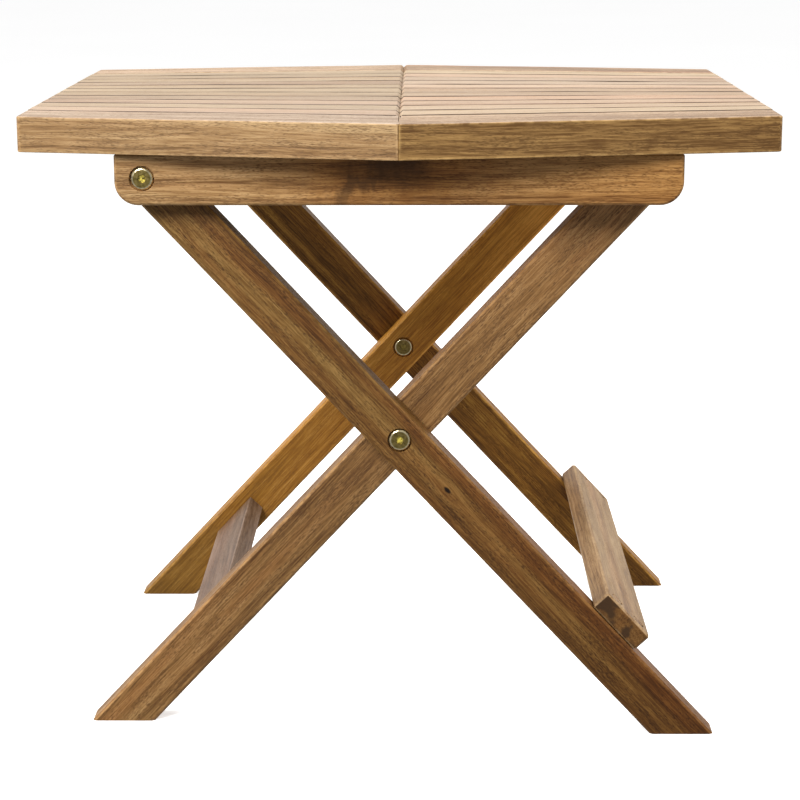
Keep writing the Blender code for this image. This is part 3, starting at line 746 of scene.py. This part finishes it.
def fan_board_mesh(name, low, high, half, corner, rounding, seam_chamfer):
    """A tapering board from the seam to the end, a little uneven along its length. The corner
    pair rounds its upright corners at the seam and at the end. Also returns its grain's direction
    and the function that spreads it for lay_grain."""
    seam, end = (high.x, low.x) if half < 0 else (low.x, high.x)
    seam -= half * SEAM_CLOSURE
    at_end = 1 - TOP_TAPER * (1 - BOARD_EASING / abs(end))
    at_seam = 1 - TOP_TAPER * BOARD_EASING / abs(end)
    low_line = low.y / (at_seam if low.y < 0 else at_end)
    high_line = high.y / (at_seam if high.y > 0 else at_end)
    places = [seam + (end - seam) * i / BOARD_STATIONS for i in range(BOARD_STATIONS + 1)]
    if seam_chamfer:
        places.insert(1, seam + half * seam_chamfer)
    bm = bmesh.new()
    rings = []
    for x in places:
        taper = 1 - TOP_TAPER * abs(x) / abs(end)
        wave = [
            SIDE_WAVE * noise.noise((x * 21, line * 40, 3.0 + k))
            for k, line in enumerate((low_line, high_line, low_line, high_line))
        ]
        sag = TOP_SAG * noise.noise((x * 11, low_line * 50, 9.0))
        if x == seam:
            sag -= seam_chamfer
        rings.append(
            [
                bm.verts.new((x, low_line * taper + wave[0], low.z)),
                bm.verts.new((x, high_line * taper + wave[1], low.z)),
                bm.verts.new((x, high_line * taper + wave[1], high.z + sag + wave[2])),
                bm.verts.new((x, low_line * taper + wave[0], high.z + sag + wave[3])),
            ]
        )
    for first, second in zip(rings, rings[1:]):
        for i in range(4):
            after = (i + 1) % 4
            bm.faces.new((first[i], first[after], second[after], second[i]))
    bm.faces.new(rings[0])
    bm.faces.new(rings[-1])
    bmesh.ops.recalc_face_normals(bm, faces=bm.faces)
    for ring, radius in ((rings[0], corner[0]), (rings[-1], corner[1])):
        upright = [bm.edges.get((ring[1], ring[2])), bm.edges.get((ring[0], ring[3]))]
        bmesh.ops.bevel(
            bm, geom=upright, offset=radius, segments=4, profile=0.5, affect="EDGES",
            clamp_overlap=False,
        )
    middle = (low.z + high.z) / 2
    rims = {True: [], False: []}
    for edge in bm.edges:
        sides = [face.normal.z for face in edge.link_faces]
        if len(sides) == 2 and max(abs(z) for z in sides) > 0.9 > min(abs(z) for z in sides):
            rims[edge.verts[0].co.z > middle].append(edge)
    for above, radius, segments in ((True, rounding, 3), (False, rounding * 0.6, 2)):
        bmesh.ops.bevel(
            bm, geom=rims[above], offset=radius, segments=segments, profile=0.5, affect="EDGES",
            clamp_overlap=False,
        )
    along = Vector((end - seam, (low_line + high_line) / 2 * -TOP_TAPER, 0))
    mesh = to_mesh(name, bm)
    lines = (low_line + high_line) / 2, (high_line - low_line) / 2
    return mesh, along, lambda point: spread(point, abs(end), *lines)


def build_top_boards(paints):
    """Two halves of slats between thicker edge boards, butted at the seam."""
    boards = sorted(node for node, slot in SLOTS.items() if slot == "top_boards")
    # The tone and the redness of the two boards in front, where the others' are random
    tones = {"left_front_board": (0.13, 0.35), "right_front_board": (-0.10, 0.0)}
    for node in boards:
        half = -1 if node.startswith("left") else 1
        edge_board = node.endswith("board")
        low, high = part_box(node)
        corner = EDGE_BOARD_CORNERS if edge_board else SLAT_CORNERS
        rounding = EDGE_BOARD_ROUNDING if edge_board else SLAT_ROUNDING
        chamfer = 0.0 if node.endswith("front_board") else SEAM_CHAMFER
        mesh, along, across = fan_board_mesh(node, low, high, half, corner, rounding, chamfer)
        tone, red = tones.get(node, (draw.uniform(-0.09, 0.10), draw.uniform(0.1, 0.9)))
        fleck = draw.uniform(0.6, 1.0)
        slat_shade = Vector(draw.choice(SLAT_SHADES)) * (RIGHT_HALF_SHADE if half > 0 else 1)
        shade = TINTS_AND_PAINTED_LIGHT.get(node, PLAIN if edge_board else (slat_shade, slat_shade))
        # Painted sheen on the edge boards' top faces, paler than their sides
        above = EDGE_BOARD_TOP_SHEEN if edge_board else None
        if node == "left_front_board":
            above = LEFT_FRONT_TOP_SHEEN
        lay_grain(mesh, along, UP, tone, red, fleck, across=across, tints=shade, top_sheen_tint=above)
        paint = paints["edge_board" if edge_board else "slat"]
        add_piece(f"{node}_wood", mesh, paint, [node])


def build_top_frame(paints):
    """The battens and the latch stop under the slats, and the two aprons."""
    for node in ("left_batten", "middle_batten", "right_batten", "latch_stop"):
        mesh = refined(node)
        lay_grain(mesh, REARWARD, UP, tone=draw.uniform(-0.06, 0.06), red=0.4)
        add_piece(f"{node}_wood", mesh, paints["batten"], [node])
    for node, tone in (("front_apron", 0.05), ("rear_apron", 0.0)):
        mesh = refined(node)
        shade = TINTS_AND_PAINTED_LIGHT.get(node, PLAIN)
        low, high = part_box(node)
        # The figure starts at the top of the apron's middle, where it also paints the shadow under
        # the top's overhang
        fork_and_shadow = Vector((-0.004, low.y, high.z - 0.004))
        heart = (0.02, 0.05)
        lay_grain(mesh, RIGHT, REARWARD, tone, red=0.75, heart=heart, tints=shade, figure=fork_and_shadow)
        add_piece(f"{node}_wood", mesh, paints["apron"], [node])


# ---------------------------------------------------------------- the leg frames


def build_legs(paints):
    """The four legs, with a pin knot in the front outer leg's face below the cross."""
    pin_knot = CROSS + ALONG_OUTER_LEG * KNOT_PAST_CROSS
    pin_knot.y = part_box("outer_leg_front")[0].y
    for node, paint, tone, red, knot in (
        ("outer_leg_front", "outer_leg", 0.06, 0.8, pin_knot),
        ("outer_leg_rear", "outer_leg", -0.04, 0.2, None),
        ("inner_leg_front", "inner_leg", 0.03, 0.7, None),
        ("inner_leg_rear", "amber_leg", 0.05, 0.3, None),
    ):
        along = ALONG_OUTER_LEG if node.startswith("outer") else ALONG_INNER_LEG
        mesh = refined(node)
        # The legs' tints include painted light: lifted in the shade under the top, darker towards the
        # feet
        lay_grain(mesh, along, REARWARD, tone=tone, red=red, knot=knot, tints=TINTS_AND_PAINTED_LIGHT[node])
        add_piece(f"{node}_wood", mesh, paints[paint], [node])


def build_stretchers(paints):
    """The two flat stretchers and the latch bar, a dowel with a thinner tenon at each end."""
    for node, along in (("outer_stretcher", ALONG_OUTER_LEG), ("inner_stretcher", ALONG_INNER_LEG)):
        face = REARWARD.cross(along)
        mesh = refined(node)
        shade = TINTS_AND_PAINTED_LIGHT.get(node, PLAIN)
        lay_grain(mesh, REARWARD, face, tone=0.06, red=0.5, fleck=0.7, tints=shade)
        add_piece(f"{node}_wood", mesh, paints["stretcher"], [node])
    low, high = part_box("latch_bar")
    place = (low + high) / 2
    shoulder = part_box("inner_stretcher")[1].y - TENON_LENGTH
    reach, radius, tenon = (high.y - low.y) / 2, (high.z - low.z) / 2, TENON_RADIUS
    ease = BAR_EASING
    profile = [(0, -reach), (tenon - ease, -reach), (tenon, ease - reach), (tenon, -shoulder)]
    profile += [(radius - ease, -shoulder), (radius, ease - shoulder)]
    profile += [(r, -h) for r, h in reversed(profile)]
    bm = bmesh.new()
    lathe(bm, profile, WOOD_SEGMENTS)
    mesh = to_mesh("latch_bar", bm)
    mesh.transform(Matrix.Translation(place) @ REARWARD.to_track_quat("Z", "Y").to_matrix().to_4x4())
    lay_grain(mesh, REARWARD, UP, tone=0.05, red=0.3, heart=(0.004, 0.03))
    add_piece("latch_bar_wood", mesh, paints["stretcher"], ["latch_bar"])


def build_plugs(paints):
    """Round plugs over the stretcher's screws, barely crowned, each off centre in its hole, which
    leaves a fine dark crescent round it."""
    face = REARWARD.cross(ALONG_OUTER_LEG)
    for number in range(1, 5):
        node = f"screw_plug_{number}"
        low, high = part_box(node)
        mesh = NODES[node].data
        heights = [face.dot(vertex.co) for vertex in mesh.vertices]
        top, depth = max(heights), max(heights) - min(heights)
        middle = (low + high) / 2
        centre = middle + face * (top - face.dot(middle))
        radius = (high.y - low.y) / 2 - PLUG_GAP
        centre = centre - ALONG_OUTER_LEG * PLUG_SHIFT + REARWARD * PLUG_SHIFT
        profile = [
            (0, 0.00022),
            (radius * 0.55, 0.00018),
            (radius * 0.9, 0.00005),
            (radius, -0.0003),
            (radius, -depth),
            (0, -depth),
        ]
        bm = bmesh.new()
        lathe(bm, profile, WOOD_SEGMENTS)
        made = to_mesh(node, bm)
        made.transform(Matrix.Translation(centre) @ face.to_track_quat("Z", "Y").to_matrix().to_4x4())
        lay_grain(made, REARWARD, face, tone=draw.uniform(-0.15, 0.1), red=0.4)
        add_piece(f"{node}_wood", made, paints["stretcher"], [node])


# ---------------------------------------------------------------- the hardware


def head_profile(radius):
    """A connector head from the edge of its flat face out over its round rim to its seat."""
    rim = radius * 0.25
    drop = HEAD_THICKNESS * 0.62
    curve = [math.pi / 2 * i / 8 for i in range(9)]
    profile = [
        (radius - rim + rim * math.sin(turn), HEAD_THICKNESS - drop + drop * math.cos(turn))
        for turn in curve
    ]
    return profile + [(radius, HEAD_SEAT_GAP + 0.0001), (radius - 0.0001, HEAD_SEAT_GAP)]


def build_connectors(paints):
    """The bolts at the cross and at the top's hinge, and the sleeve nuts that they turn in."""
    hexagon = SOCKET_ACROSS_FLATS / math.sqrt(3)
    outline = [
        (hexagon * math.cos(math.pi / 3 * i), hexagon * math.sin(math.pi / 3 * i)) for i in range(6)
    ]
    for kind in ("cross", "top"):
        for place_name, side in (("front", -1), ("rear", 1)):
            for part, facing in (("bolt", side), ("nut", -side)):
                node = f"{kind}_{part}_{place_name}"
                low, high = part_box(node)
                centre = (low + high) / 2
                head_top = high.y if facing > 0 else low.y
                seat = Vector((centre.x, head_top - facing * HEAD_THICKNESS, centre.z))
                reach = (high.y - low.y) - HEAD_THICKNESS
                head_radius = (high.x - low.x) / 2
                profile = head_profile(head_radius)
                if part == "bolt":
                    shank, tip = SHANK_RADIUS, SHANK_TIP
                    profile += [(shank, HEAD_SEAT_GAP), (shank, tip - reach), (shank - tip, -reach)]
                    profile += [(0, -reach)]
                else:
                    bore, sleeve = SLEEVE_BORE_RADIUS, SLEEVE_RADIUS
                    profile += [(sleeve, HEAD_SEAT_GAP), (sleeve, -reach), (bore, -reach)]
                    profile += [(bore, -SLEEVE_BORE_FLOOR), (0, -SLEEVE_BORE_FLOOR)]
                bm = bmesh.new()
                rim, _ = lathe(bm, profile)
                sink_recess(bm, rim, outline, HEAD_THICKNESS, SOCKET_DEPTH, 0.0002, 0.0003)
                mesh = to_mesh(node, bm, 30.0)
                # How bright each socket's painted glint is
                glint_strength = 1.0 if part == "bolt" else 0.2
                stand(mesh, seat, Vector((0, facing, 0)), draw.uniform(0, math.pi / 3), glint_strength)
                add_piece(f"{node}_brass", mesh, paints["brass"], [node])


def build_washers(paints):
    """The eased nylon rings at the crossings and between the legs and the aprons."""
    for node in sorted(n for n, slot in SLOTS.items() if slot == "washers"):
        low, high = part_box(node)
        outer, inner, half = (high.x - low.x) / 2, WASHER_HOLE_RADIUS, (high.y - low.y) / 2
        ease = WASHER_EASING
        profile = [
            (inner, ease - half),
            (inner + ease, -half),
            (outer - ease, -half),
            (outer, ease - half),
            (outer, half - ease),
            (outer - ease, half),
            (inner + ease, half),
            (inner, half - ease),
        ]
        bm = bmesh.new()
        lathe(bm, profile + profile[:1])
        bmesh.ops.remove_doubles(bm, verts=bm.verts, dist=1e-6)
        mesh = stand(to_mesh(node, bm), (low + high) / 2, REARWARD)
        add_piece(f"{node}_nylon", mesh, paints["nylon"], [node])


def build_screws(paints):
    """The screws under the plugs keep their CAD shape and take the steel."""
    for node in sorted(n for n, slot in SLOTS.items() if slot == "screws"):
        for material_slot in NODES[node].material_slots:
            material_slot.material = paints["steel"]


# ---------------------------------------------------------------- the setting


def add_light(name, power, size, place, colour, mirrored=True):
    """A square soft box that faces the middle of the table, and may show in what is glossy."""
    light = bpy.data.lights.new(name, "AREA")
    light.energy = power
    light.size = size
    light.color = colour
    lamp = bpy.data.objects.new(name, light)
    bpy.context.scene.collection.objects.link(lamp)
    lamp.location = place
    lamp.rotation_euler = (CROSS - Vector(place)).to_track_quat("-Z", "Y").to_euler()
    lamp.visible_glossy = mirrored


def studio_world():
    """A studio's soft surroundings: bright behind and overhead, dim in front and below."""
    world = bpy.data.worlds.new("studio")
    world.use_nodes = True
    nodes, links = world.node_tree.nodes, world.node_tree.links
    place = nodes.new("ShaderNodeTexCoord")
    axes = nodes.new("ShaderNodeSeparateXYZ")
    links.new(place.outputs["Generated"], axes.inputs[0])
    rearward = nodes.new("ShaderNodeMath")
    rearward.operation = "MULTIPLY_ADD"
    links.new(axes.outputs["Z"], rearward.inputs[0])
    rearward.inputs[1].default_value = 0.9
    links.new(axes.outputs["Y"], rearward.inputs[2])
    spread_out = nodes.new("ShaderNodeMapRange")
    spread_out.interpolation_type = "SMOOTHSTEP"
    links.new(rearward.outputs[0], spread_out.inputs["Value"])
    spread_out.inputs["From Min"].default_value = -0.7
    spread_out.inputs["From Max"].default_value = 0.9
    spread_out.inputs["To Min"].default_value = WORLD_DIM
    spread_out.inputs["To Max"].default_value = WORLD_BRIGHT
    links.new(spread_out.outputs["Result"], nodes["Background"].inputs["Strength"])
    nodes["Background"].inputs["Color"].default_value = (1.0, 1.0, 1.0, 1.0)
    bpy.context.scene.world = world


def build_setting():
    """The floor, which turns up into a backdrop all round, the lights and the camera."""
    bm = bmesh.new()
    lathe(bm, BACKDROP)
    floor = bpy.data.objects.new("floor", to_mesh("floor", bm))
    bpy.context.scene.collection.objects.link(floor)
    floor.data.materials.append(floor_material("floor_paper"))
    floor.visible_diffuse = False
    floor.visible_glossy = False
    studio_world()
    add_light("key", 30.0, 0.6, (-0.70, -1.50, 1.25), (1.0, 0.98, 0.95))
    add_light("overhead", 26.0, 1.6, (-0.25, 0.75, 2.3), (1.0, 1.0, 1.0))
    add_light("left_side", 24.0, 1.1, (-1.5, 0.1, 1.0), (1.0, 0.99, 0.97), mirrored=False)
    add_light("right_side", 24.0, 1.1, (1.5, 0.1, 1.0), (1.0, 0.99, 0.97), mirrored=False)

    lens = bpy.data.cameras.new("view")
    lens.lens = FOCAL_LENGTH
    lens.sensor_width = SENSOR_WIDTH
    camera = bpy.data.objects.new("view", lens)
    bpy.context.scene.collection.objects.link(camera)
    camera.location = CAMERA_PLACE
    level = Euler((math.pi / 2 - CAMERA_TILT, 0, CAMERA_TURN)).to_matrix()
    camera.rotation_euler = (level @ Matrix.Rotation(CAMERA_ROLL, 3, "Z")).to_euler()
    bpy.context.scene.camera = camera
    bpy.context.scene.view_settings.view_transform = "Standard"


def build_table():
    """Every piece of the table, in an order that the random draws depend on."""
    paints = make_materials()
    build_top_boards(paints)
    build_top_frame(paints)
    build_legs(paints)
    build_stretchers(paints)
    build_plugs(paints)
    build_connectors(paints)
    build_washers(paints)
    build_screws(paints)


build_setting()
build_table()
